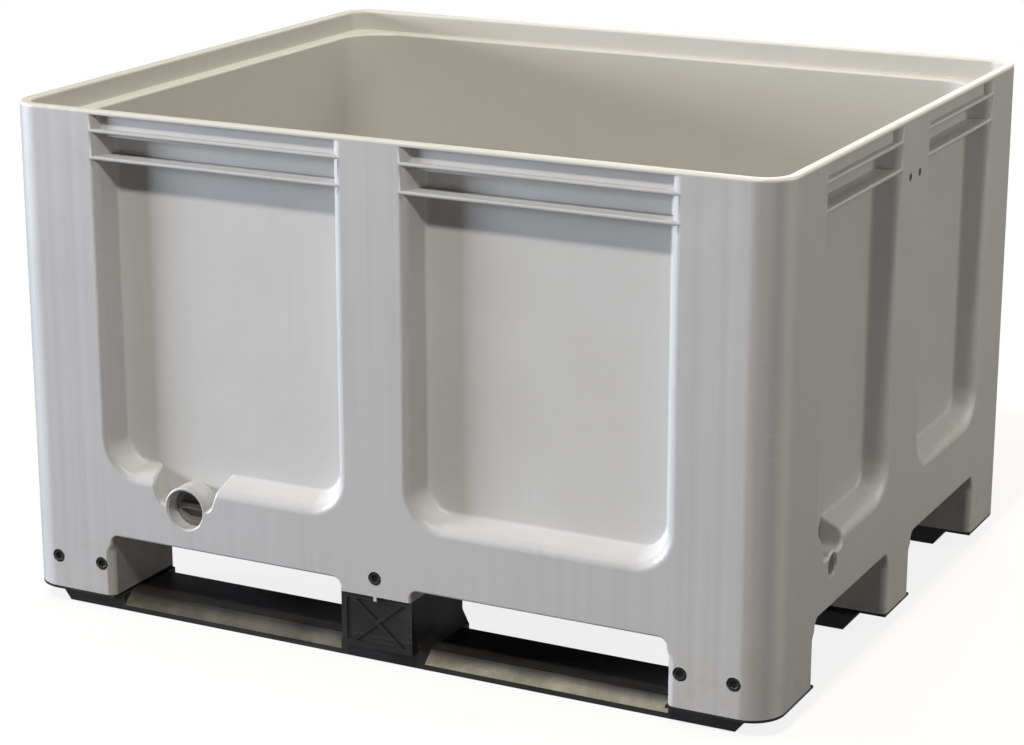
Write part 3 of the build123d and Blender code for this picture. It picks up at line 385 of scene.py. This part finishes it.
def blackPolyethylene():
    material, tree = startMaterial("black moulded polyethylene")
    coord = addNode(tree, "ShaderNodeTexCoord").outputs["Object"]
    place = addNode(tree, "ShaderNodeSeparateXYZ", inputs={0: coord})
    cloud = addNode(tree, "ShaderNodeTexNoise", None,
                    {"Vector": coord, "Scale": perMetre(blackSkin["cloud"]),
                     "Detail": 5.0, "Roughness": 0.6})
    base = addNode(tree, "ShaderNodeMix", colourMix,
                   {0: cloud.outputs[0], 6: linear(blackSkin["colour"]),
                    7: linear(blackSkin["cloudColour"])})
    normal = addNode(tree, "ShaderNodeNewGeometry").outputs["True Normal"]
    upward = addNode(tree, "ShaderNodeSeparateXYZ", inputs={0: normal}).outputs[2]
    up = addNode(tree, "ShaderNodeMapRange", None,
                 {"Value": upward, "From Min": 0.35, "From Max": 0.95,
                  "To Max": blackSkin["dustShare"]})
    settle = addNode(tree, "ShaderNodeTexNoise", None,
                     {"Vector": coord, "Scale": perMetre(blackSkin["dust"]),
                      "Detail": 7.0, "Roughness": 0.7})
    settled = addNode(tree, "ShaderNodeMapRange", None,
                      {"Value": settle.outputs[0], "From Min": 0.40, "From Max": 0.72})
    dust = addNode(tree, "ShaderNodeMath", times, {0: up.outputs[0], 1: settled.outputs[0]})
    withDust = addNode(tree, "ShaderNodeMix", colourMix,
                       {0: dust.outputs[0], 6: base.outputs[2],
                        7: linear(blackSkin["dustColour"])})

    # painted light: the bevels, which tines ride up on, are painted pale grey in patches low down,
    # fading out upwards into the box's shadow
    sloped = addNode(tree, "ShaderNodeMapRange", eased,
                     {"Value": upward, "From Min": 0.6, "From Max": 0.72})
    level = addNode(tree, "ShaderNodeMapRange", eased,
                    {"Value": upward, "From Min": 0.94, "From Max": 0.86})
    bevelFace = addNode(tree, "ShaderNodeMath", times,
                        {0: sloped.outputs[0], 1: level.outputs[0]})
    lightPatch = addNode(tree, "ShaderNodeMapRange", None,
                       {"Value": settle.outputs[0], "From Min": 0.30, "From Max": 0.62,
                        "To Min": 0.35, "To Max": 0.95})
    start, full = blackSkin["bevelHeight"]
    lowDown = addNode(tree, "ShaderNodeMapRange", eased,
                      {"Value": place.outputs[2], "From Min": start, "From Max": full})
    start, full = blackSkin["wornEnd"]
    oneEnd = addNode(tree, "ShaderNodeMapRange", eased,
                     {"Value": place.outputs[0], "From Min": start, "From Max": full,
                      "To Min": blackSkin["litLeast"], "To Max": 1.0})
    lowBevel = addNode(tree, "ShaderNodeMath", times,
                       {0: bevelFace.outputs[0], 1: lowDown.outputs[0]})
    wornEnd = addNode(tree, "ShaderNodeMath", times,
                      {0: lowBevel.outputs[0], 1: oneEnd.outputs[0]})
    worn = addNode(tree, "ShaderNodeMath", times,
                   {0: wornEnd.outputs[0], 1: lightPatch.outputs[0]})
    withBevelLight = addNode(tree, "ShaderNodeMix", colourMix,
                       {0: worn.outputs[0], 6: withDust.outputs[2],
                        7: linear(blackSkin["bevelLightColour"])})

    along, across = blackSkin["drag"]
    dragSpace = addNode(tree, "ShaderNodeMapping", None,
                        {"Vector": coord,
                         "Scale": (perMetre(along), perMetre(across), perMetre(across))})
    dragNoise = addNode(tree, "ShaderNodeTexNoise", None,
                        {"Vector": dragSpace.outputs[0], "Scale": 1.0, "Detail": 2.0})
    drag = addNode(tree, "ShaderNodeMapRange", None,
                   {"Value": dragNoise.outputs[0], "From Min": 0.60, "From Max": 0.74,
                    "To Max": blackSkin["dragShare"]})
    colour = addNode(tree, "ShaderNodeMix", colourMix,
                     {0: drag.outputs[0], 6: withBevelLight.outputs[2],
                      7: linear(blackSkin["dragColour"])})
    smooth, rough = blackSkin["roughness"]
    polish = addNode(tree, "ShaderNodeMapRange", None,
                     {"Value": cloud.outputs[0], "From Min": 0.3, "From Max": 0.7,
                      "To Min": smooth, "To Max": rough})
    roughness = addNode(tree, "ShaderNodeMath", timesPlus,
                        {0: dust.outputs[0], 1: blackSkin["dustRoughness"],
                         2: polish.outputs[0]})
    pit = addNode(tree, "ShaderNodeTexNoise", None,
                  {"Vector": coord, "Scale": perMetre(blackSkin["pit"]),
                   "Detail": 4.0, "Roughness": 0.65})
    pitBump = addNode(tree, "ShaderNodeBump", None,
                      {"Strength": 0.35, "Distance": blackSkin["pitDepth"],
                       "Height": pit.outputs[0]})
    dragBump = addNode(tree, "ShaderNodeBump", {"invert": True},
                       {"Strength": 0.4, "Distance": blackSkin["dragDepth"],
                        "Height": drag.outputs[0], "Normal": pitBump.outputs[0]})
    shader = addNode(tree, "ShaderNodeBsdfPrincipled", None,
                     {"Base Color": colour.outputs[2], "Roughness": roughness.outputs[0],
                      "IOR": 1.52, "Normal": dragBump.outputs[0]})
    addNode(tree, "ShaderNodeOutputMaterial", None, {"Surface": shader.outputs[0]})
    return material


# Steel screws with a dark zinc flake coat: dull, mottled, with bright spots where a key has turned.
screwCoat = {
    "colour": "#3b3c3e",
    "spotColour": "#77787a",
    "roughness": (0.38, 0.6),
    "mottle": 3.0,  # mm, changes in the gloss
    "wear": 1.6,    # mm, bright spots
    "wearDepth": 0.0001,
}


def coatedSteel():
    material, tree = startMaterial("zinc flake coated steel")
    coord = addNode(tree, "ShaderNodeTexCoord").outputs["Object"]
    mottle = addNode(tree, "ShaderNodeTexNoise", None,
                     {"Vector": coord, "Scale": perMetre(screwCoat["mottle"]), "Detail": 4.0})
    wear = addNode(tree, "ShaderNodeTexNoise", None,
                   {"Vector": coord, "Scale": perMetre(screwCoat["wear"]),
                    "Detail": 5.0, "Roughness": 0.7})
    spot = addNode(tree, "ShaderNodeMapRange", None,
                   {"Value": wear.outputs[0], "From Min": 0.6, "From Max": 0.7})
    colour = addNode(tree, "ShaderNodeMix", colourMix,
                     {0: spot.outputs[0], 6: linear(screwCoat["colour"]),
                      7: linear(screwCoat["spotColour"])})
    smooth, rough = screwCoat["roughness"]
    roughness = addNode(tree, "ShaderNodeMapRange", None,
                        {"Value": mottle.outputs[0], "From Min": 0.3, "From Max": 0.7,
                         "To Min": smooth, "To Max": rough})
    bump = addNode(tree, "ShaderNodeBump", None,
                   {"Strength": 0.25, "Distance": screwCoat["wearDepth"],
                    "Height": wear.outputs[0]})
    shader = addNode(tree, "ShaderNodeBsdfPrincipled", None,
                     {"Base Color": colour.outputs[2], "Roughness": roughness.outputs[0],
                      "Metallic": 0.85, "Normal": bump.outputs[0]})
    addNode(tree, "ShaderNodeOutputMaterial", None, {"Surface": shader.outputs[0]})
    return material


# Grey polypropylene plugs, moulded: even satin skin with a fine grain, rubbed paler in patches.
plugSkin = {
    "colour": "#74746f",
    "rubColour": "#80807a",
    "roughness": (0.34, 0.5),
    "rub": 14,     # mm, paler patches
    "grain": 1.5,  # mm
    "grainDepth": 0.0002,
}


def plugPolypropylene():
    material, tree = startMaterial("grey moulded polypropylene")
    coord = addNode(tree, "ShaderNodeTexCoord").outputs["Object"]
    rub = addNode(tree, "ShaderNodeTexNoise", None,
                  {"Vector": coord, "Scale": perMetre(plugSkin["rub"]),
                   "Detail": 5.0, "Roughness": 0.6})
    paleShare = addNode(tree, "ShaderNodeMapRange", None,
                     {"Value": rub.outputs[0], "From Min": 0.5, "From Max": 0.75})
    colour = addNode(tree, "ShaderNodeMix", colourMix,
                     {0: paleShare.outputs[0], 6: linear(plugSkin["colour"]),
                      7: linear(plugSkin["rubColour"])})
    smooth, rough = plugSkin["roughness"]
    roughness = addNode(tree, "ShaderNodeMapRange", None,
                        {"Value": rub.outputs[0], "From Min": 0.3, "From Max": 0.7,
                         "To Min": smooth, "To Max": rough})
    grain = addNode(tree, "ShaderNodeTexNoise", None,
                    {"Vector": coord, "Scale": perMetre(plugSkin["grain"]), "Detail": 2.0})
    bump = addNode(tree, "ShaderNodeBump", None,
                   {"Strength": 0.2, "Distance": plugSkin["grainDepth"],
                    "Height": grain.outputs[0]})
    shader = addNode(tree, "ShaderNodeBsdfPrincipled", None,
                     {"Base Color": colour.outputs[2], "Roughness": roughness.outputs[0],
                      "IOR": 1.5, "Normal": bump.outputs[0]})
    addNode(tree, "ShaderNodeOutputMaterial", None, {"Surface": shader.outputs[0]})
    return material


# Black EPDM sealing rings: matt, with a chalky bloom.
sealRubber = {
    "colour": "#19191a",
    "bloomColour": "#343436",
    "roughness": 0.72,
    "bloom": 6,  # mm
    "bloomDepth": 0.0002,
}


def ringRubber():
    material, tree = startMaterial("black moulded rubber")
    coord = addNode(tree, "ShaderNodeTexCoord").outputs["Object"]
    bloom = addNode(tree, "ShaderNodeTexNoise", None,
                    {"Vector": coord, "Scale": perMetre(sealRubber["bloom"]),
                     "Detail": 5.0, "Roughness": 0.7})
    colour = addNode(tree, "ShaderNodeMix", colourMix,
                     {0: bloom.outputs[0], 6: linear(sealRubber["colour"]),
                      7: linear(sealRubber["bloomColour"])})
    bump = addNode(tree, "ShaderNodeBump", None,
                   {"Strength": 0.2, "Distance": sealRubber["bloomDepth"],
                    "Height": bloom.outputs[0]})
    shader = addNode(tree, "ShaderNodeBsdfPrincipled", None,
                     {"Base Color": colour.outputs[2], "Roughness": sealRubber["roughness"],
                      "IOR": 1.5, "Normal": bump.outputs[0]})
    addNode(tree, "ShaderNodeOutputMaterial", None, {"Surface": shader.outputs[0]})
    return material


grey = greyPolyethylene()
black = blackPolyethylene()
steel = coatedSteel()
plugPlastic = plugPolypropylene()
rubber = ringRubber()
print("materials made")

# Mouldings: merged copies of the CAD solids, with true rounded shading and broken edges
mouldings = {
    "mergeDistance": 0.00001,
    "sharpAngle": math.radians(32),
    "flatAngle": math.radians(0.4),
    "runnerEdge": 0.0012,  # m, broken edge of the black mouldings
    "plugEdge": 0.0005,
    "edgeSegments": 2,
}


def mergedCopy(nodeName, pieceName, material, edge=0.0):
    mesh = cadNodes[nodeName].data.copy()
    mesh.name = pieceName
    mesh.materials.clear()
    mesh.materials.append(material)
    bm = bmesh.new()
    bm.from_mesh(mesh)
    bmesh.ops.remove_doubles(bm, verts=bm.verts, dist=mouldings["mergeDistance"])
    bmesh.ops.dissolve_degenerate(bm, edges=bm.edges, dist=mouldings["mergeDistance"])
    if edge:
        bmesh.ops.dissolve_limit(bm, angle_limit=mouldings["flatAngle"],
                                 verts=bm.verts, edges=bm.edges)
    for face in bm.faces:
        face.smooth = True
        face.material_index = 0
    for line in bm.edges:
        paired = len(line.link_faces) == 2
        line.smooth = paired and line.calc_face_angle(0) < mouldings["sharpAngle"]
    bm.to_mesh(mesh)
    bm.free()
    piece = bpy.data.objects.new(pieceName, mesh)
    bpy.context.scene.collection.objects.link(piece)
    if edge:
        bevel = piece.modifiers.new("brokenEdge", "BEVEL")
        bevel.width = edge
        bevel.segments = mouldings["edgeSegments"]
        bevel.limit_method = "ANGLE"
        bevel.angle_limit = mouldings["sharpAngle"]
        bevel.use_clamp_overlap = True
    weighted = piece.modifiers.new("flatFacesFirst", "WEIGHTED_NORMAL")
    weighted.keep_sharp = not edge
    bakeModifiers(piece)
    return piece


def bakeModifiers(piece):
    depsgraph = bpy.context.evaluated_depsgraph_get()
    mesh = bpy.data.meshes.new_from_object(piece.evaluated_get(depsgraph))
    piece.modifiers.clear()
    piece.data = mesh


tub = mergedCopy("box_body", "tub_moulding", grey)
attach(tub, "box")
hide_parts("box_body")
print("tub:", len(tub.data.polygons), "faces")

for nodeName in ("front_runner", "middle_runner", "rear_runner"):
    runner = mergedCopy(nodeName, nodeName + "_moulding", black, mouldings["runnerEdge"])
    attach(runner, "box")
    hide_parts(nodeName)
    print(nodeName + ":", len(runner.data.polygons), "faces")

for nodeName, body in (("front_drain_plug", "front_plug"), ("side_drain_plug", "side_plug")):
    plug = mergedCopy(nodeName, nodeName + "_moulding", plugPlastic, mouldings["plugEdge"])
    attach(plug, body)
    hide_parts(nodeName)

for nodeName, body in (("front_drain_seal", "front_plug"), ("side_drain_seal", "side_plug")):
    ring = mergedCopy(nodeName, nodeName + "_ring", rubber)
    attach(ring, body)
    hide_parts(nodeName)
print("plugs and rings made")

# Runner screws: one head and one shank, set on each CAD screw by Geometry Nodes
screwShape = {
    "nodes": ("front_end_screws", "front_centre_screw", "rear_end_screws", "rear_centre_screw",
              "middle_runner_screws"),
    "segments": 48,
    "headRadius": 0.0095,
    "headHeight": 0.005,
    "headRound": 0.0012,
    "roundSteps": 4,
    "headUnderside": 0.0003,  # broken edge under the head
    "socketAcross": 0.010,    # across the flats
    "socketStep": 0.0001,     # from the top to where the chamfer starts
    "socketChamfer": 0.0006,
    "socketDepth": 0.003,
    "socketDip": 0.0004,      # dip in the socket's floor
    "shankRadius": 0.0039,
    "threadDepth": 0.0005,
    "threadPitch": 0.0035,
    "pointLength": 0.0015,
    "turnSeed": 4,
}


def screwBoxes(nodeName):
    bm = bmesh.new()
    bm.from_mesh(cadNodes[nodeName].data)
    bmesh.ops.remove_doubles(bm, verts=bm.verts, dist=mouldings["mergeDistance"])
    left = set(bm.verts)
    boxes = []
    while left:
        front = [left.pop()]
        group = list(front)
        while front:
            vert = front.pop()
            for line in vert.link_edges:
                other = line.other_vert(vert)
                if other in left:
                    left.remove(other)
                    front.append(other)
                    group.append(other)
        low = Vector([min(v.co[i] for v in group) for i in range(3)])
        high = Vector([max(v.co[i] for v in group) for i in range(3)])
        boxes.append((low, high))
    bm.free()
    return sorted(boxes, key=lambda pair: tuple(pair[0]))


def ringMesh(name, rings):
    # rings with the same number of points, joined in turn, with a cap on the first and the last
    bm = bmesh.new()
    made = [[bm.verts.new(co) for co in ring] for ring in rings]
    count = len(made[0])
    for lower, upper in zip(made, made[1:]):
        for i in range(count):
            bm.faces.new((lower[i], lower[(i + 1) % count], upper[(i + 1) % count], upper[i]))
    bm.faces.new(list(reversed(made[0])))
    bm.faces.new(made[-1])
    bmesh.ops.recalc_face_normals(bm, faces=bm.faces)
    for face in bm.faces:
        face.smooth = True
    for line in bm.edges:
        line.smooth = line.calc_face_angle(0) < mouldings["sharpAngle"]
    mesh = bpy.data.meshes.new(name)
    bm.to_mesh(mesh)
    bm.free()
    return bpy.data.objects.new(name, mesh)


def circle(radius, level):
    count = screwShape["segments"]
    turns = [2 * math.pi * i / count for i in range(count)]
    return [(radius * math.cos(t), radius * math.sin(t), level) for t in turns]


def hexagon(across, level):
    count = screwShape["segments"]
    points = []
    for i in range(count):
        turn = 2 * math.pi * i / count
        fromFlat = (turn + math.pi / 6) % (math.pi / 3) - math.pi / 6
        radius = across / 2 / math.cos(fromFlat)
        points.append((radius * math.cos(turn), radius * math.sin(turn), level))
    return points


def screwHead():
    radius, height = screwShape["headRadius"], screwShape["headHeight"]
    rounding, steps = screwShape["headRound"], screwShape["roundSteps"]
    broken = screwShape["headUnderside"]
    rings = [circle(screwShape["shankRadius"], -height), circle(radius - broken, -height),
             circle(radius, broken - height)]
    for i in range(steps + 1):
        turn = math.pi / 2 * i / steps
        rings.append(circle(radius - rounding + rounding * math.cos(turn),
                            rounding * math.sin(turn) - rounding))
    across, chamfer = screwShape["socketAcross"], screwShape["socketChamfer"]
    depth = screwShape["socketDepth"]
    rings.append(circle(across / 2 / math.cos(math.pi / 6) + 2 * chamfer, 0.0))
    rings.append(hexagon(across + 2 * chamfer, -screwShape["socketStep"]))
    rings.append(hexagon(across, -chamfer))
    rings.append(hexagon(across, -depth))
    rings.append(circle(across / 4, -depth - screwShape["socketDip"]))
    return ringMesh("screwHead", rings)


def screwShank(length):
    radius, depth = screwShape["shankRadius"], screwShape["threadDepth"]
    pitch = screwShape["threadPitch"]
    rings = [circle(radius, -screwShape["headHeight"])]
    level = -screwShape["headHeight"] - pitch
    while level > pitch - length:
        rings.append(circle(radius - depth, level))
        rings.append(circle(radius, level - pitch / 2))
        level -= pitch
    rings.append(circle(radius - depth, screwShape["pointLength"] - length))
    rings.append(circle(radius / 2, -length))
    return ringMesh("screwShank", rings)


def screwTree():
    tree = bpy.data.node_groups.new("setScrews", "GeometryNodeTree")
    for name, kind in (("Places", "Geometry"), ("Head", "Object"), ("Shank", "Object"),
                       ("Turn seed", "Int"), ("Finish", "Material")):
        tree.interface.new_socket(name, in_out="INPUT", socket_type="NodeSocket" + kind)
    tree.interface.new_socket("Screws", in_out="OUTPUT", socket_type="NodeSocketGeometry")
    given = addNode(tree, "NodeGroupInput").outputs
    facing = addNode(tree, "GeometryNodeInputNamedAttribute", {"data_type": "FLOAT_VECTOR"},
                     {"Name": "facing"})
    turned = addNode(tree, "FunctionNodeAlignRotationToVector", {"axis": "Z"},
                     {"Vector": facing.outputs[0]})
    spin = addNode(tree, "FunctionNodeRandomValue", {"data_type": "FLOAT"},
                   {2: 0.0, 3: math.pi / 3, "Seed": given["Turn seed"]})
    spinTurn = addNode(tree, "FunctionNodeAxisAngleToRotation", None,
                       {"Axis": (0.0, 0.0, 1.0), "Angle": spin.outputs[1]})
    rotation = addNode(tree, "FunctionNodeRotateRotation", {"rotation_space": "LOCAL"},
                       {0: turned.outputs[0], 1: spinTurn.outputs[0]})
    joined = addNode(tree, "GeometryNodeJoinGeometry")
    for part in ("Head", "Shank"):
        shape = addNode(tree, "GeometryNodeObjectInfo", None, {"Object": given[part]})
        setPart = addNode(tree, "GeometryNodeInstanceOnPoints", None,
                          {"Points": given["Places"], "Instance": shape.outputs["Geometry"],
                           "Rotation": rotation.outputs[0]})
        tree.links.new(setPart.outputs[0], joined.inputs[0])
    realized = addNode(tree, "GeometryNodeRealizeInstances", None, {0: joined.outputs[0]})
    finished = addNode(tree, "GeometryNodeSetMaterial", None,
                       {"Geometry": realized.outputs[0], "Material": given["Finish"]})
    addNode(tree, "NodeGroupOutput", None, {0: finished.outputs[0]})
    return tree


def setScrews(tree, head, nodeName):
    places, facings = [], []
    for low, high in screwBoxes(nodeName):
        centre, size = (low + high) / 2, high - low
        if nodeName == "middle_runner_screws":  # put in from below
            axis, away, length = 2, -1, size.z
        else:  # put in from the rear or the front
            axis, away, length = 1, 1 if centre.y > 0 else -1, size.y
        place, facing = centre.copy(), Vector((0, 0, 0))
        place[axis] = high[axis] if away > 0 else low[axis]
        facing[axis] = away
        places.append(place)
        facings.append(facing)
    shank = screwShank(length)
    mesh = bpy.data.meshes.new(nodeName + "_places")
    mesh.from_pydata(places, [], [])
    attribute = mesh.attributes.new("facing", "FLOAT_VECTOR", "POINT")
    for i, facing in enumerate(facings):
        attribute.data[i].vector = facing
    piece = bpy.data.objects.new(nodeName + "_set", mesh)
    bpy.context.scene.collection.objects.link(piece)
    modifier = piece.modifiers.new("setScrews", "NODES")
    modifier.node_group = tree
    values = {"Head": head, "Shank": shank, "Turn seed": screwShape["turnSeed"], "Finish": steel}
    for item in tree.interface.items_tree:
        if item.in_out == "INPUT" and item.name in values:
            modifier[item.identifier] = values[item.name]
    bakeModifiers(piece)
    bpy.data.objects.remove(shank)
    return piece


screwNodes = screwTree()
headShape = screwHead()
for nodeName in screwShape["nodes"]:
    screws = setScrews(screwNodes, headShape, nodeName)
    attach(screws, "box")
    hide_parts(nodeName)
    print(nodeName + ":", len(screws.data.polygons), "faces")
bpy.data.objects.remove(headShape)

# Floor, light and camera
studio = {
    "floorSize": 30.0,
    "floorDrop": 0.0006,        # m below the soles, so that the two don't share a plane
    "floorColour": "#f0f0ee",   # as the camera sees it
    "bounceColour": "#4e4e4c",  # as it lights the box
    "white": (1.0, 1.0, 1.0, 1.0),
    "glow": 0.85,               # share of that white near the box, the rest takes shadow
    "shadowReach": (1.3, 3.6),  # m from the middle, between which the floor turns plain white
    "glossShare": 0.2,          # how much of that white the satin skins mirror
    "skyColour": "#d2d4d6",
    "skyStrength": 0.045,
    "lights": (                 # name, place, target, size across and up, watts, colour
        ("key", (0.6, -7.5, 10.6), (0.0, -0.2, 0.4), (1.0, 1.0), 1160, "#fffbf3"),
        ("window", (-7.54, -2.97, 1.4), (0.0, -0.3, 0.42), (2.0, 1.7), 960, "#eef2ff"),
        ("ceiling", (0.2, 0.4, 4.6), (0.0, 0.0, 0.3), (3.6, 3.6), 104, "#fff6e8"),
        ("doorway", (3.9, 1.4, 2.2), (0.3, 0.0, 0.4), (2.0, 2.0), 68, "#fffcf0"),
        ("bounce", (2.6, -3.2, 0.5), (0.3, -0.2, 0.25), (2.5, 0.8), 11, "#fffdf8"),
        ("backFill", (-1.0, 4.8, 2.2), (0.0, 0.0, 0.4), (3.0, 2.0), 60, "#f4f6fa"),
    ),
}


def whiteShares(tree):  # where the camera sees the white, and the same with what skins mirror
    path = addNode(tree, "ShaderNodeLightPath").outputs
    seen = addNode(tree, "ShaderNodeMath", larger,
                   {0: path["Is Camera Ray"], 1: path["Is Transmission Ray"]})
    mirrored = addNode(tree, "ShaderNodeMath", timesPlus,
                       {0: path["Is Glossy Ray"], 1: studio["glossShare"], 2: seen.outputs[0]})
    return seen.outputs[0], mirrored.outputs[0]


mesh = bpy.data.meshes.new("studio_floor")
half, level = studio["floorSize"] / 2, -studio["floorDrop"]
mesh.from_pydata([(-half, -half, level), (half, -half, level),
                  (half, half, level), (-half, half, level)], [], [(0, 1, 2, 3)])
floor = bpy.data.objects.new("studio_floor", mesh)
bpy.context.scene.collection.objects.link(floor)
floorMaterial, tree = startMaterial("pale studio floor")
seen, mirrored = whiteShares(tree)
nearest, farthest = studio["shadowReach"]
away = addNode(tree, "ShaderNodeVectorMath", {"operation": "LENGTH"},
               {0: addNode(tree, "ShaderNodeTexCoord").outputs["Object"]})
whiteness = addNode(tree, "ShaderNodeMapRange", eased,
                    {"Value": away.outputs["Value"], "From Min": nearest, "From Max": farthest,
                     "To Min": studio["glow"], "To Max": 1.0})
share = addNode(tree, "ShaderNodeMath", times, {0: mirrored, 1: whiteness.outputs[0]})
paintColour = addNode(tree, "ShaderNodeMix", colourMix,
                      {0: seen, 6: linear(studio["bounceColour"]),
                       7: linear(studio["floorColour"])})
paint = addNode(tree, "ShaderNodeBsdfDiffuse", None, {"Color": paintColour.outputs[2]})
glow = addNode(tree, "ShaderNodeEmission", None, {"Color": studio["white"], "Strength": 1.0})
mixed = addNode(tree, "ShaderNodeMixShader", None,
                {0: share.outputs[0], 1: paint.outputs[0], 2: glow.outputs[0]})
addNode(tree, "ShaderNodeOutputMaterial", None, {"Surface": mixed.outputs[0]})
floor.data.materials.append(floorMaterial)

world = bpy.data.worlds.new("studio")
bpy.context.scene.world = world
world.use_nodes = True
tree = world.node_tree
tree.nodes.clear()
sky = addNode(tree, "ShaderNodeBackground", None,
              {"Color": linear(studio["skyColour"]), "Strength": studio["skyStrength"]})
white = addNode(tree, "ShaderNodeBackground", None,
                {"Color": studio["white"], "Strength": 1.0})
mirrored = whiteShares(tree)[1]
mixed = addNode(tree, "ShaderNodeMixShader", None,
                {0: mirrored, 1: sky.outputs[0], 2: white.outputs[0]})
addNode(tree, "ShaderNodeOutputWorld", None, {"Surface": mixed.outputs[0]})

for name, place, target, size, watts, colour in studio["lights"]:
    lamp = bpy.data.lights.new(name, "AREA")
    lamp.shape = "RECTANGLE"
    lamp.size, lamp.size_y = size
    lamp.energy = watts
    lamp.color = linear(colour)[:3]
    holder = bpy.data.objects.new(name, lamp)
    bpy.context.scene.collection.objects.link(holder)
    holder.location = place
    holder.rotation_euler = (Vector(target) - Vector(place)).to_track_quat("-Z", "Y").to_euler()
print("studio lit")

cameraView = {
    "place": (1.787, -3.582, 1.475),
    "azimuth": math.radians(27.0),
    "pitch": math.radians(16.31),
    "focalPixels": 2700,
    "imageWidth": 1024,
    "sensor": 36.0,    # mm
    "clipEnd": 100.0,  # m
}
camera = bpy.data.cameras.new("photo_camera")
camera.sensor_fit = "HORIZONTAL"
camera.sensor_width = cameraView["sensor"]
camera.lens = cameraView["focalPixels"] / cameraView["imageWidth"] * cameraView["sensor"]
camera.clip_end = cameraView["clipEnd"]
cameraHolder = bpy.data.objects.new("photo_camera", camera)
bpy.context.scene.collection.objects.link(cameraHolder)
cameraHolder.location = cameraView["place"]
cameraHolder.rotation_euler = (math.pi / 2 - cameraView["pitch"], 0.0, cameraView["azimuth"])
bpy.context.scene.camera = cameraHolder
bpy.context.scene.view_settings.view_transform = "Standard"
print("camera set")
